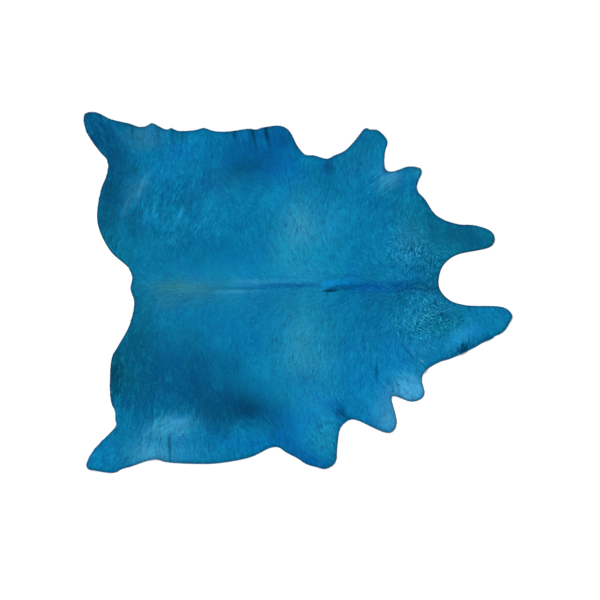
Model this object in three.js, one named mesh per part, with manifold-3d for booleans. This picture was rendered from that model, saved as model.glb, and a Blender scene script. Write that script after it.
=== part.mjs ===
// Cowhide rug: one whole tanned hide with its hair on, laid out flat, hair side up.
//
// Millimetres. +X runs along the spine from the tail to the neck, +Y to the animal's left side, +Z up.
// The origin is on the floor, under the middle of the hide's box. The flesh side rests on z = 0,
// apart from the few folds, ruffles and curled tips where the hide stands off the floor.

import * as THREE from 'three';
import { mergeVertices } from 'three/addons/utils/BufferGeometryUtils.js';
import Module from 'manifold-3d';

// Driving dimensions

const LEATHER = 2.2; // the tanned skin
const COAT = 2.3; // the short hair, combed down on it
const THICKNESS = LEATHER + COAT;
const EDGE_STEP = 19; // between two points of the cut edge
const CLEAR = 60; // how far a cutting solid runs past the sheet

const DYE = '#0a74ab'; // the middle of the blue that the hair was dyed

// The cut edge, once round from the root of the tail over the left side, the neck and the right side.
// Each row is one stretch, and its columns are the place along the spine and the place out from it.
const EDGE = {
  leftButt: [
    [-860, 20], [-850, 75], [-865, 120], [-965, 215], [-1030, 360], [-1015, 515],
    [-985, 595], [-975, 635],
  ],
  leftHindShank: [
    [-980, 680], [-1020, 725], [-1090, 835], [-1095, 915], [-1040, 925], [-965, 890],
    [-860, 865],
  ],
  leftFlank: [
    [-820, 850], [-775, 855], [-750, 870], [-720, 855], [-670, 835], [-655, 845],
    [-620, 830],
  ],
  leftBelly: [
    [-520, 835], [-485, 845], [-440, 830], [-380, 825], [-240, 840], [-215, 835],
    [-185, 845], [-95, 855],
  ],
  leftElbow: [[-50, 835], [0, 745], [40, 705], [75, 705], [155, 685], [180, 700], [245, 730]],
  leftForeShank: [
    [325, 820], [345, 845], [370, 835], [405, 835], [460, 775], [445, 720], [450, 630],
    [485, 620],
  ],
  leftShoulder: [[560, 645], [600, 645], [635, 630], [610, 555], [610, 525], [650, 480]],
  leftCheek: [[710, 395], [820, 350], [900, 345], [990, 315], [1010, 280], [995, 240], [820, 195]],
  neck: [[775, 170], [735, 120], [725, 25], [780, -40], [860, -65]],
  rightCheek: [
    [1065, -80], [1100, -120], [1085, -155], [1065, -190], [1035, -215], [1015, -220],
    [1000, -235],
  ],
  rightJaw: [[960, -250], [910, -280], [780, -340], [730, -355]],
  rightShoulder: [
    [650, -405], [635, -440], [640, -480], [650, -510], [640, -540], [585, -560],
    [490, -530],
  ],
  rightFlap: [[475, -540], [485, -570], [505, -680], [470, -720]],
  rightElbow: [[280, -650], [245, -665], [215, -700], [200, -795]],
  rightForeShank: [[190, -875], [135, -905], [95, -895], [40, -880], [5, -855], [-70, -815]],
  rightBelly: [
    [-95, -795], [-135, -795], [-245, -845], [-400, -875], [-490, -880], [-680, -870],
    [-730, -855],
  ],
  rightHindShank: [
    [-865, -895], [-905, -905], [-940, -925], [-1035, -915], [-1085, -900],
    [-1060, -825], [-950, -705],
  ],
  rightButt: [
    [-930, -680], [-940, -645], [-935, -620], [-955, -575], [-965, -515], [-955, -330],
    [-930, -285], [-865, -165], [-840, -50],
  ],
};

// Where the hide is uneven. Every place is meshed in cells of the size given, [along, out].
//   folds     soft ridges of both faces, from one end to the other; spread is half their width.
//             An open one starts past the cut edge at its full height and dies away inwards.
//   partings  lines where only the hair side dips
//   curls     a tip that lifts off the floor within its reach
const UNEVEN = [
  {
    place: 'back', cell: [23, 11],
    folds: [
      { name: 'loin', from: [-200, 50], to: [140, 55], spread: 30, height: 5 },
      { name: 'hump', from: [105, 31], to: [290, 42], spread: 36, height: 14 },
      { name: 'withers', from: [230, 45], to: [640, 50], spread: 32, height: 5 },
    ],
    partings: [
      { name: 'back line', from: [-900, 20], to: [-150, 18], spread: 14, depth: 1.4 },
      { name: 'neck line', from: [490, 16], to: [770, 22], spread: 13, depth: 1.4 },
    ],
  },
  {
    place: 'left belly', cell: [11, 28],
    folds: [
      { name: 'first ruffle', from: [-272, 870], to: [-262, 735], spread: 42, height: 7, open: true },
      { name: 'second ruffle', from: [-190, 875], to: [-176, 732], spread: 38, height: 9, open: true },
      { name: 'third ruffle', from: [-90, 885], to: [-78, 722], spread: 58, height: 8, open: true },
    ],
    partings: [
      { name: 'first crease', from: [-237, 870], to: [-210, 742], spread: 12, depth: 1.4 },
      { name: 'second crease', from: [-166, 875], to: [-138, 742], spread: 12, depth: 1.4 },
    ],
  },
  {
    place: 'left flank', cell: [14, 28],
    folds: [
      { name: 'wide ruffle', from: [-752, 890], to: [-740, 745], spread: 44, height: 7, open: true },
      { name: 'narrow ruffle', from: [-658, 865], to: [-652, 750], spread: 30, height: 5, open: true },
    ],
  },
  {
    place: 'left elbow', cell: [14, 16],
    folds: [{ name: 'pucker', from: [140, 705], to: [168, 600], spread: 42, height: 8 }],
  },
  {
    place: 'right elbow', cell: [16, 16],
    folds: [{ name: 'pucker', from: [160, -548], to: [250, -662], spread: 45, height: 9 }],
  },
  {
    place: 'right flank', cell: [14, 26],
    folds: [{ name: 'bulge', from: [-732, -890], to: [-722, -735], spread: 62, height: 7, open: true }],
    partings: [{ name: 'crease', from: [-656, -900], to: [-660, -705], spread: 14, depth: 1.4 }],
  },
  {
    place: 'right shoulder', cell: [12, 24],
    partings: [{ name: 'crease', from: [402, -340], to: [407, -470], spread: 14, depth: 1.4 }],
  },
  {
    place: 'right neck', cell: [13, 13],
    folds: [
      { name: 'slanting fold', from: [665, -418], to: [520, -255], spread: 27, height: 8, open: true },
    ],
  },
  {
    place: 'right jaw', cell: [17, 17],
    folds: [
      { name: 'first wave', from: [850, -320], to: [805, -190], spread: 40, height: 7, open: true },
      { name: 'second wave', from: [975, -265], to: [935, -165], spread: 34, height: 6, open: true },
    ],
    curls: [{ tip: [1100, -121], reach: 150, lift: 6 }],
  },
  { place: 'left hind shank', cell: [28, 28], curls: [{ tip: [-1095, 912], reach: 170, lift: 7 }] },
  { place: 'right hind shank', cell: [28, 28], curls: [{ tip: [-1080, -902], reach: 165, lift: 6 }] },
  { place: 'left fore shank', cell: [26, 26], curls: [{ tip: [365, 842], reach: 130, lift: 5 }] },
  { place: 'right fore shank', cell: [26, 26], curls: [{ tip: [134, -905], reach: 130, lift: 5 }] },
  { place: 'left cheek', cell: [26, 26], curls: [{ tip: [1008, 280], reach: 130, lift: 5 }] },
  { place: 'left shoulder', cell: [22, 22], curls: [{ tip: [634, 632], reach: 90, lift: 4 }] },
  { place: 'right flap', cell: [22, 22], curls: [{ tip: [480, -715], reach: 90, lift: 4 }] },
];

// The hide's lie

// A line's own shape: how high it stands, from 0 to 1, over a point of the plan.
// Across it is a squared cosine, along it half a sine, or for an open one a quarter of a cosine.
function swell({ from, to, spread, open = false }, x, y) {
  const run = [to[0] - from[0], to[1] - from[1]];
  const length = Math.hypot(...run);
  const along = ((x - from[0]) * run[0] + (y - from[1]) * run[1]) / length ** 2;
  const off = Math.abs((x - from[0]) * run[1] - (y - from[1]) * run[0]) / length;
  if (off >= spread || along >= 1 || (along <= 0 && !open)) return 0;
  const across = Math.cos((Math.PI / 2) * (off / spread)) ** 2;
  const reach = open ? Math.cos((Math.PI / 2) * Math.max(along, 0)) : Math.sin(Math.PI * along);
  return across * reach;
}

// How far the flesh side stands off the floor.
function lift({ folds = [], curls = [] }, x, y) {
  let z = 0;
  for (const fold of folds) z += fold.height * swell(fold, x, y);
  for (const curl of curls) {
    const nearness = Math.max(0, 1 - Math.hypot(x - curl.tip[0], y - curl.tip[1]) / curl.reach);
    z += curl.lift * nearness ** 2;
  }
  return z;
}

// How far the hair side dips.
function dip({ partings = [] }, x, y) {
  return partings.reduce((sum, parting) => sum + parting.depth * swell(parting, x, y), 0);
}

// The rectangle of the plan, in whole millimetres, that holds all of a place's relief.
function rectangleOf({ folds = [], partings = [], curls = [] }) {
  const rectangle = new THREE.Box2();
  for (const { from, to, spread } of [...folds, ...partings]) {
    const line = new THREE.Box2().setFromPoints([new THREE.Vector2(...from), new THREE.Vector2(...to)]);
    rectangle.union(line.expandByScalar(spread));
  }
  for (const { tip, reach } of curls) {
    rectangle.union(new THREE.Box2().setFromPoints([new THREE.Vector2(...tip)]).expandByScalar(reach));
  }
  rectangle.min.floor();
  rectangle.max.ceil();
  return rectangle;
}

// Solids

const wasm = await Module();
wasm.setup();

function solidOf(geometry) {
  geometry.deleteAttribute('normal');
  geometry.deleteAttribute('uv');
  const closed = mergeVertices(geometry, 1e-4);
  return new wasm.Manifold(new wasm.Mesh({
    numProp: 3,
    vertProperties: closed.attributes.position.array,
    triVerts: Uint32Array.from(closed.index.array),
  }));
}

// The cut edge: one smooth closed curve through the rows of EDGE, as evenly spaced points.
function edgePoints() {
  const marks = Object.values(EDGE).flat().map(([along, out]) => new THREE.Vector3(along, out, 0));
  const curve = new THREE.CatmullRomCurve3(marks, true, 'centripetal');
  curve.arcLengthDivisions = 20 * marks.length;
  const steps = Math.round(curve.getLength() / EDGE_STEP);
  return curve.getSpacedPoints(steps).slice(0, -1).map(({ x, y }) => new THREE.Vector2(x, y));
}

// The outline's upright prism between two heights.
function prism(outline, low, high) {
  const extrusion = { depth: high - low, bevelEnabled: false };
  const geometry = new THREE.ExtrudeGeometry(new THREE.Shape(outline), extrusion);
  return solidOf(geometry.translate(0, 0, low));
}

// A rectangle's block between two heights, or, given a place, the sheet that follows its relief there.
function block({ min, max }, low, high, place = null) {
  const [long, wide] = [max.x - min.x, max.y - min.y];
  const [cellLong, cellWide] = place ? place.cell : [long, wide];
  const cells = [Math.ceil(long / cellLong), Math.ceil(wide / cellWide)];
  const geometry = new THREE.BoxGeometry(long, wide, high - low, ...cells);
  geometry.translate((min.x + max.x) / 2, (min.y + max.y) / 2, (low + high) / 2);
  const { position } = geometry.attributes;
  for (let i = 0; place && i < position.count; i += 1) {
    const [x, y, z] = [position.getX(i), position.getY(i), position.getZ(i)];
    const onHairSide = z > (low + high) / 2;
    position.setZ(i, z + lift(place, x, y) - (onHairSide ? dip(place, x, y) : 0));
  }
  return solidOf(geometry);
}

// The hide: a flat sheet, with each uneven place cut out and its own sheet set in.
function hideSolid() {
  const outline = edgePoints();
  const column = prism(outline, -CLEAR, CLEAR);
  let hide = prism(outline, 0, THICKNESS);
  for (const place of UNEVEN) {
    const rectangle = rectangleOf(place);
    const sheet = block(rectangle, 0, THICKNESS, place).intersect(column);
    hide = hide.subtract(block(rectangle, -CLEAR, CLEAR)).add(sheet);
  }
  return hide;
}

function meshOf(name, solid, material) {
  const { vertProperties, triVerts } = solid.getMesh();
  const geometry = new THREE.BufferGeometry();
  geometry.setAttribute('position', new THREE.BufferAttribute(vertProperties, 3));
  geometry.setIndex(new THREE.BufferAttribute(triVerts, 1));
  geometry.computeVertexNormals();
  const mesh = new THREE.Mesh(geometry, material);
  mesh.name = name;
  return mesh;
}

// The rug

const dyedHair = new THREE.MeshStandardMaterial({ color: DYE, roughness: 0.75, metalness: 0 });

const rug = new THREE.Group();
rug.name = 'cowhide_rug';
rug.add(meshOf('hide', hideSolid(), dyedHair));

export default rug;
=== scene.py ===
# %% [markdown]
# # A dyed cowhide rug
#
# The real thing is one whole cattle hide, tanned with its hair on, dyed blue in a vat and laid out
# with the hair up. It has no lining and nothing is sewn to it. Seen from above it is an outline,
# a mottled dye and a short coat of hair that lies back along the spine and down the sides.
#
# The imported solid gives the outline, the thickness and the folds. This script puts two things in
# its place: the skin, as one closed sheet on the same folds, and the hair, as locks that lie on it.

# %% Load the frame
import math

import bpy
import numpy as np
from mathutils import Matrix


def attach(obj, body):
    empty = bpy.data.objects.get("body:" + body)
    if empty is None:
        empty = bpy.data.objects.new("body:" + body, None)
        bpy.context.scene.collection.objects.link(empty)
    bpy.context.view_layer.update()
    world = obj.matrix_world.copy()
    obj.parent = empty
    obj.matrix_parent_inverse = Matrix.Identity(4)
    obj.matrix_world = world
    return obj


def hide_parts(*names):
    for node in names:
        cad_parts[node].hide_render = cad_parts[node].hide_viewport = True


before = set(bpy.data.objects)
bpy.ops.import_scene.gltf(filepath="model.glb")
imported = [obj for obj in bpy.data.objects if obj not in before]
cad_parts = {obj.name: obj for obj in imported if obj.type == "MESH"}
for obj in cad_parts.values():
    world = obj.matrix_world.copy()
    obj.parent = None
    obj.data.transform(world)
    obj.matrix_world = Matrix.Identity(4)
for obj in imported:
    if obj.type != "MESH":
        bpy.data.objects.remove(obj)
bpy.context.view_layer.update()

MM = 0.001

# %% [markdown]
# ## Camera, floor and light
#
# The rug was photographed from straight above, so the camera looks straight down, with the spine
# level and the neck on the right. A long lens this far up shows no side of the hide. The floor is
# plain and pale. A studio would light it with several soft boxes. A bright, even world does the
# same with less noise, and one large soft lamp towards the tail and the left side makes the folds
# show at all on a sheet this thin.

# %% Camera
CAMERA_PLACE = (10.3 * MM, -38.6 * MM, 7.28)
LENS = 85  # mm, a long lens for a camera this far up
SENSOR = 36  # mm, a full frame

camera = bpy.data.objects.new("camera", bpy.data.cameras.new("camera"))
camera.location = CAMERA_PLACE
camera.data.lens = LENS
camera.data.sensor_width = SENSOR
bpy.context.scene.collection.objects.link(camera)
bpy.context.scene.camera = camera
print(f"the picture is {SENSOR / LENS * CAMERA_PLACE[2]:.2f} m wide on the floor")


# %% Helpers for colours and materials
def linear(hex_colour):
    """sRGB hex to linear RGB. Each channel c, from 0 to 1, becomes c / 12.92 where it is dark,
    and otherwise ((c + 0.055) / 1.055) to the power 2.4."""
    srgb = np.array([int(hex_colour[i:i + 2], 16) for i in (1, 3, 5)]) / 255
    return np.where(srgb <= 0.04045, srgb / 12.92, ((srgb + 0.055) / 1.055) ** 2.4)


def add_node(tree, kind, links=(), **settings):
    """Add one node, set its sockets and properties by name, and link (socket, source) pairs to it."""
    node = tree.nodes.new(kind)
    for name, value in settings.items():
        if hasattr(node, name):
            setattr(node, name, value)
        else:
            node.inputs[name.replace("_", " ")].default_value = value
    for socket, source in links:
        tree.links.new(source, node.inputs[socket])
    return node


def new_material(name):
    """An empty material with its shader: the tree and the shader node."""
    material = bpy.data.materials.new(name)
    material.use_nodes = True
    return material, material.node_tree, material.node_tree.nodes["Principled BSDF"]


def set_sockets(shader, values):
    """Set plain numbers and colours on a shader's own sockets."""
    for name, value in values.items():
        shader.inputs[name].default_value = value


# %% Floor
FLOOR_HALF = 40.0  # metres, so that it fills the picture in all but the lowest views
WHITE_FLOOR = "#f2f2f2"

floor_mesh = bpy.data.meshes.new("floor")
floor_corners = np.array([[-1, -1, 0], [1, -1, 0], [1, 1, 0], [-1, 1, 0]]) * FLOOR_HALF
floor_mesh.from_pydata(floor_corners.tolist(), [], [(0, 1, 2, 3)])
floor = bpy.data.objects.new("floor", floor_mesh)
bpy.context.scene.collection.objects.link(floor)

# Matt wall paint, rolled on: it gives the hide a soft shadow and no mirror image.
floor_paint, _, floor_shader = new_material("matt_white_floor")
set_sockets(floor_shader, {"Base Color": (*linear(WHITE_FLOOR), 1), "Roughness": 0.9,
                           "Specular IOR Level": 0.0})
floor_mesh.materials.append(floor_paint)

# %% Light
ROOM_LIGHT = 0.60
LAMP_LIGHT = 2.7
LAMP_WIDTH = 28  # degrees of the sky that the lamp fills, which softens its shadows
LAMP_FROM = (-4.4, 3.6, 6.2)  # towards the tail, the left side and up

world = bpy.data.worlds.new("bright_room")
world.use_nodes = True
set_sockets(world.node_tree.nodes["Background"],
            {"Color": (*linear("#ffffff"), 1), "Strength": ROOM_LIGHT})
bpy.context.scene.world = world

lamp = bpy.data.objects.new("soft_lamp", bpy.data.lights.new("soft_lamp", "SUN"))
lamp.data.energy = LAMP_LIGHT
lamp.data.angle = math.radians(LAMP_WIDTH)
lamp.location = LAMP_FROM
lamp.rotation_euler = (math.atan2(math.hypot(*LAMP_FROM[:2]), LAMP_FROM[2]), 0,
                       math.atan2(LAMP_FROM[0], -LAMP_FROM[1]))
bpy.context.scene.collection.objects.link(lamp)
bpy.context.scene.view_settings.view_transform = "Standard"

# %% [markdown]
# ## The cut edge
#
# A hide is trimmed with a knife, so its edge is a smooth wandering line with shanks, cheeks and
# bays. It could be drawn again as a curve, but the solid already has that line, and a second one
# would never quite agree with it. The solid's hair side is made of triangles that face up, and an
# edge that only one of them has lies on the cut edge. That gives the outline as loose segments,
# and loose segments are all that a distance and an inside test need.

# %% Read the cut edge from the solid
FACES_UP = 0.3  # a triangle faces up where its unit normal's Z is above this
MERGE_DIGITS = 5  # corners that agree to 0.01 mm are one corner


def cut_edge(node):
    """The outline in plan, as (n, 2 ends, 2) segments: the edges that one up-facing triangle has."""
    mesh = node.data
    mesh.calc_loop_triangles()
    points = np.empty(3 * len(mesh.vertices))
    mesh.vertices.foreach_get("co", points)
    triangles = np.empty(3 * len(mesh.loop_triangles), np.int64)
    mesh.loop_triangles.foreach_get("vertices", triangles)
    places, merged = np.unique(points.reshape(-1, 3).round(MERGE_DIGITS), axis=0,
                               return_inverse=True)
    triangles = merged.reshape(-1)[triangles].reshape(-1, 3)
    sides = places[triangles]
    normals = np.cross(sides[:, 1] - sides[:, 0], sides[:, 2] - sides[:, 0])
    upward = triangles[normals[:, 2] > FACES_UP * np.linalg.norm(normals, axis=1)]
    edges = np.sort(upward[:, [0, 1, 1, 2, 2, 0]].reshape(-1, 2), axis=1)
    pairs, uses = np.unique(edges, axis=0, return_counts=True)
    return places[pairs[uses == 1]][:, :, :2]


EDGE = cut_edge(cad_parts["hide"])
print(f"cut edge: {len(EDGE)} segments, {np.linalg.norm(EDGE[:, 1] - EDGE[:, 0], axis=1).sum():.2f} m")


# %% Distance to the cut edge
AT_ONCE = 2000  # points that are worked on together, to bound the memory


def to_edge(points):
    """For plan points (n, 2): the signed distance to the cut edge, above 0 inside, and the nearest
    point on it. The distance is the least one to any segment, and a point is inside if a ray from
    it towards +X crosses an odd number of segments."""
    (x0, y0), (x1, y1) = EDGE[:, 0].T, EDGE[:, 1].T
    run_x, run_y = x1 - x0, y1 - y0
    squared = run_x ** 2 + run_y ** 2
    gaps, nearest = [], []
    for some in np.array_split(points, max(1, len(points) // AT_ONCE)):
        dx, dy = some[:, :1] - x0, some[:, 1:] - y0
        share = np.clip((dx * run_x + dy * run_y) / squared, 0, 1)
        away = (dx - share * run_x) ** 2 + (dy - share * run_y) ** 2
        best = away.argmin(1)
        rows = np.arange(len(some))
        spans = (dy < 0) != (some[:, 1:] < y1)
        to_the_right = (dx * run_y < dy * run_x) == (run_y > 0)
        inside = (spans & to_the_right).sum(1) % 2 == 1
        gaps.append(np.where(inside, 1, -1) * np.sqrt(away[rows, best]))
        nearest.append(EDGE[best, 0] + share[rows, best, None] * (EDGE[best, 1] - EDGE[best, 0]))
    return np.concatenate(gaps), np.concatenate(nearest)


# %% Fields: values kept on a fine plan grid
STEP = 4 * MM  # from one grid point to the next
COARSE = 4  # steps between the places where the distance is worked out first
EXACT = 30 * MM  # nearer the edge than this, it is then worked out at every place
MARGIN = 60 * MM  # the grid goes on this far past the hide
INSIDE = 1.001  # a read stops this many steps before the grid's end, so it has a next point
CORNER = EDGE.reshape(-1, 2).min(0) - MARGIN
FIELD_SHAPE = tuple(np.ceil((EDGE.reshape(-1, 2).max(0) + MARGIN - CORNER) / STEP).astype(int) + 1)
FIELD_X, FIELD_Y = np.meshgrid(*(CORNER[k] + STEP * np.arange(FIELD_SHAPE[k]) for k in (0, 1)),
                               indexing="ij")


def mix_corners(grid, i, j, s, t):
    """The grid's values at the corners of cell i, j, mixed for a point that lies a share s and a
    share t of the way across it: each is weighted by the share of the cell on its far side."""
    return ((1 - s) * ((1 - t) * grid[i, j] + t * grid[i, j + 1])
            + s * ((1 - t) * grid[i + 1, j] + t * grid[i + 1, j + 1]))


def sample(field, x, y):
    """Read a field at any plan points, by straight mixing of the four grid values round each."""
    u = np.clip((x - CORNER[0]) / STEP, 0, FIELD_SHAPE[0] - INSIDE)
    v = np.clip((y - CORNER[1]) / STEP, 0, FIELD_SHAPE[1] - INSIDE)
    i, j = u.astype(int), v.astype(int)
    s, t = u - i, v - j
    if field.ndim == 3:
        s, t = s[..., None], t[..., None]
    return mix_corners(field, i, j, s, t)


def edge_distances():
    """The signed distance to the cut edge on the field grid. It is mixed from a coarse grid, and
    worked out again wherever that says that the edge is near."""
    coarse_x, coarse_y = FIELD_X[::COARSE, ::COARSE], FIELD_Y[::COARSE, ::COARSE]
    coarse = to_edge(np.stack([coarse_x, coarse_y], 2).reshape(-1, 2))[0].reshape(coarse_x.shape)
    u, v = (np.clip(np.arange(FIELD_SHAPE[k]) / COARSE, 0, coarse.shape[k] - INSIDE) for k in (0, 1))
    i, j = u.astype(int)[:, None], v.astype(int)
    gaps = mix_corners(coarse, i, j, u[:, None] - i, v - j)
    near = np.abs(gaps) < EXACT
    gaps[near] = to_edge(np.stack([FIELD_X[near], FIELD_Y[near]], 1))[0]
    return gaps


edge_field = edge_distances()
print(f"field grid {FIELD_SHAPE}, plan area {(edge_field > 0).sum() * STEP ** 2:.3f} square metres")

# %% [markdown]
# ## The lie of the hair
#
# Hair on cattle points back along the spine, and turns down the sides. On the flanks, elbows and
# shanks it slants its own way, at the flank there is a whorl, and on the neck it stands away from
# the cut in crimped rows. A particle coat could be combed with the mouse, but no reader could
# repeat that. So a first rule gives the broad lie, and a short table bends it place by place, each
# row with a soft reach. Streaks, locks and shading all follow this one field.

# %% How the hair lies
SPINE = 20 * MM  # the spine's place along Y
SPINE_REACH = 130 * MM  # how far from the spine the hair still points back
ROW_WEIGHT = 3  # how strongly a table row outweighs the broad lie at its middle
TINY = 1e-9  # keeps a division by nothing away

# Columns: where, along and out in mm; where the tips point, in degrees from the neck end's +X;
# and how far that holds, in mm.
LIE = [
    ("left hind shank", -1000, 800, 135, 130),
    ("left flank edge", -830, 790, 112, 110),
    ("left rump", -900, 440, 80, 190),
    ("left stifle", -740, 430, 72, 150),
    ("left loin", -560, 440, 50, 130),
    ("left side", -480, 330, 48, 120),
    ("left belly", -300, 560, 176, 100),
    ("left belly front", -150, 560, 176, 90),
    ("left belly edge", -150, 800, 100, 100),
    ("left elbow", 60, 620, 60, 90),
    ("left fore shank", 380, 740, 80, 120),
    ("left shoulder", 430, 540, 30, 110),
    ("left shoulder point", 590, 590, 42, 80),
    ("left neck side", 610, 430, 88, 90),
    ("left cheek root", 700, 350, 120, 80),
    ("left cheek", 920, 270, 168, 110),
    ("right butt", -930, -400, -100, 160),
    ("right rump", -700, -350, -65, 150),
    ("right side", -330, -500, -52, 110),
    ("right belly", -220, -700, -4, 70),
    ("right belly edge", -300, -830, -90, 80),
    ("right middle", 10, -540, -88, 120),
    ("right elbow", 190, -620, -32, 80),
    ("right fore shank", 110, -800, -55, 110),
    ("right flap", 430, -620, -75, 90),
    ("right shoulder", 540, -450, -35, 100),
    ("right neck side", 650, -300, -55, 90),
    ("right cheek", 830, -150, -50, 100),
    ("right cheek end", 1020, -140, -15, 90),
    ("right hind shank", -960, -840, -150, 120),
    ("right flank edge", -820, -740, -112, 80),
]

# Columns: the whorl's centre, along and out in mm; its reach in mm; and how far the hair turns
# from pointing straight away from the centre, in degrees.
WHORLS = [
    ("right flank whorl", -640, -725, 65, 60),
    ("neck crown", 930, 25, 330, 0),
]


def unit(vectors):
    """Each vector divided by its length."""
    return vectors / np.maximum(np.linalg.norm(vectors, axis=-1, keepdims=True), TINY)


def lie_of(x, y):
    """Unit vectors of the lie. The broad lie is backwards by exp(-v / reach), v being the distance
    from the spine, and outwards for the rest. Each table row adds its own vector, weighted by the
    row weight times exp(-(distance / reach) squared), and the sum is brought to length 1."""
    v = y - SPINE
    back = np.exp(-np.abs(v) / SPINE_REACH)
    total = np.stack([-back, np.sign(v) * (1 - back)], -1)
    for _, along, out, heading, reach in LIE:
        far = np.hypot(x - along * MM, y - out * MM) / (reach * MM)
        arrow = np.array([math.cos(math.radians(heading)), math.sin(math.radians(heading))])
        total = total + ROW_WEIGHT * np.exp(-far ** 2)[..., None] * arrow
    for _, along, out, reach, twist in WHORLS:
        dx, dy = x - along * MM, y - out * MM
        heading = np.arctan2(dy, dx) + math.radians(twist)
        weight = ROW_WEIGHT * np.exp(-(np.hypot(dx, dy) / (reach * MM)) ** 2)
        total = total + weight[..., None] * np.stack([np.cos(heading), np.sin(heading)], -1)
    return unit(total)


lie_field = lie_of(FIELD_X, FIELD_Y)
print(f"lie of the hair: {len(LIE)} places and {len(WHORLS)} whorls")

# %% [markdown]
# ## Grain: clouds and combed streaks
#
# Dye takes unevenly, in soft clouds, and hair clumps in thin streaks along its lie. Noise nodes
# make clouds, but their streaks are straight, so both are worked out here. A cloud is random
# numbers on a wide grid, mixed smoothly. A streak is random grain that is combed: each place takes
# the mean of the grain along its own line of lie, so the streaks bend as the hair does.

# %% Random grain on the field
SEED = 7
chance = np.random.default_rng(SEED)


def cloud(size):
    """Random values about 0, of unit spread, on a grid of the given size in metres with a few
    points to spare. Between the grid points a share s is eased to s squared times (3 - 2 s)."""
    counts = [int(FIELD_SHAPE[k] * STEP / size) + 3 for k in (0, 1)]
    grid = chance.standard_normal(counts)
    u, v = (FIELD_X - CORNER[0]) / size, (FIELD_Y - CORNER[1]) / size
    i, j = u.astype(int), v.astype(int)
    s, t = u - i, v - j
    s, t = s * s * (3 - 2 * s), t * t * (3 - 2 * t)
    mixed = mix_corners(grid, i, j, s, t)
    return mixed / mixed.std()


def layered(*layers):
    """Clouds of several sizes added up, each given as its size in mm and its weight."""
    return sum(weight * cloud(size * MM) for size, weight in layers)


def combed(grain, direction, reach):
    """The mean of the grain along the direction field, over the reach to both sides, found by
    walking every grid point along the field in even steps, and brought to unit spread."""
    steps = max(2, round(reach / STEP))
    total = grain.copy()
    for sign in (1, -1):
        x, y = FIELD_X.copy(), FIELD_Y.copy()
        for _ in range(steps):
            arrow = sample(direction, x, y)
            x, y = x + sign * STEP * arrow[..., 0], y + sign * STEP * arrow[..., 1]
            total += sample(grain, x, y)
    return (total - total.mean()) / total.std()


# %% Streaks and clouds
FINE_COMB = 8 * MM  # how far single hairs are combed
WIDE_GRAIN = 7 * MM  # size of the grain for streaks as wide as a lock
WIDE_COMB = 16 * MM

fine_streaks = combed(chance.standard_normal(FIELD_SHAPE), lie_field, FINE_COMB)
wide_streaks = combed(cloud(WIDE_GRAIN), lie_field, WIDE_COMB)
soft_clouds = layered((120, 1), (50, 0.8), (22, 0.6))
hue_clouds = layered((90, 1), (26, 0.6))
print("streaks combed on", fine_streaks.size, "points")

# %% The curls of the neck
NOTCH = (850 * MM, 110 * MM)  # the curls run in rings round the neck's notch
RING = 15 * MM  # from one row of curls to the next
RING_PULL = 8 * MM  # how far the clouds pull a ring about
CURL_SLOPE = 2 * MM  # the step used to read which way a row runs
CURL_USUAL = 0.7  # how strong the curls are before the clouds make them uneven
CURL_MOST = 1.7  # and the strongest that the clouds make them
CREST = 1.5
CREST_MEAN = 0.47  # what a crest comes to over a whole row, so that curls add no light in all

# Columns: the middle, along and out in mm; half length and half width in mm; how curly, up to 1.
CURLY = [
    ("left of the neck", 560, 205, 125, 115, 0.75),
    ("left of the notch", 690, 170, 100, 95, 0.35),
    ("middle of the neck", 640, 40, 120, 90, 0.2),
    ("right of the neck", 640, -150, 165, 135, 0.95),
    ("right of the notch", 780, -100, 105, 85, 0.32),
    ("right cheek root", 880, -130, 90, 75, 0.12),
]

ring_field = (np.hypot(FIELD_X - NOTCH[0], FIELD_Y - NOTCH[1])
              + RING_PULL * layered((34, 1), (15, 0.35)))
curl_strength = np.clip(CURL_USUAL + layered((38, 0.25), (10, 0.5)), 0, CURL_MOST)


def how_near(x, y, along, out, half_length, half_width, turn=0):
    """The distance from a middle in units of an ellipse's half sizes: 0 there, 1 on the ellipse."""
    dx, dy = x - along * MM, y - out * MM
    c, s = math.cos(math.radians(turn)), math.sin(math.radians(turn))
    return np.hypot((dx * c + dy * s) / half_length, (dy * c - dx * s) / half_width) / MM


def curly(x, y):
    """How curly the hair is: the sum over the table of each amount times exp(-q squared), at most 1."""
    share = sum(row[-1] * np.exp(-how_near(x, y, *row[1:-1]) ** 2) for row in CURLY)
    return np.minimum(share, 1)


def curl(x, y):
    """The rows of curls, about -0.5 in a gap and 1 on a crest, thin crests with wide gaps between.
    The rows are rings round the notch, pulled about by clouds: ((1 + cos(turns)) / 2) cubed, less
    its mean."""
    wave = (1 + np.cos(2 * math.pi * sample(ring_field, x, y) / RING)) / 2
    return sample(curl_strength, x, y) * (CREST * wave ** 3 - CREST_MEAN)


def along_row(x, y):
    """Unit vectors along the rows of curls, the same way round the notch everywhere: the slope of
    the rings, turned by a quarter. A flow that never turns back leaves no bare parting."""
    slope_x = sample(ring_field, x + CURL_SLOPE, y) - sample(ring_field, x - CURL_SLOPE, y)
    slope_y = sample(ring_field, x, y + CURL_SLOPE) - sample(ring_field, x, y - CURL_SLOPE)
    return unit(np.stack([-slope_y, slope_x], -1))


# %% [markdown]
# ## Where the hide is not flat
#
# The hide lies flat but for a tuck at the hump, ruffled belly edges, puckers at the elbows, waves
# along the jaw and tips that curl up. A cloth simulation would put folds where it likes, and these
# have to be where the real ones are, so each is one row: a line on the plan with a width and a
# height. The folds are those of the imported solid, so the sheet lies in its place. The script adds
# what is too fine for the solid: the thin creases, the shallow waves of skin that dried unevenly,
# and the crimped rows of the neck hair.

# %% Tables of folds, creases and curled tips
LEATHER = 2.2 * MM  # how thick the tanned skin is

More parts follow.
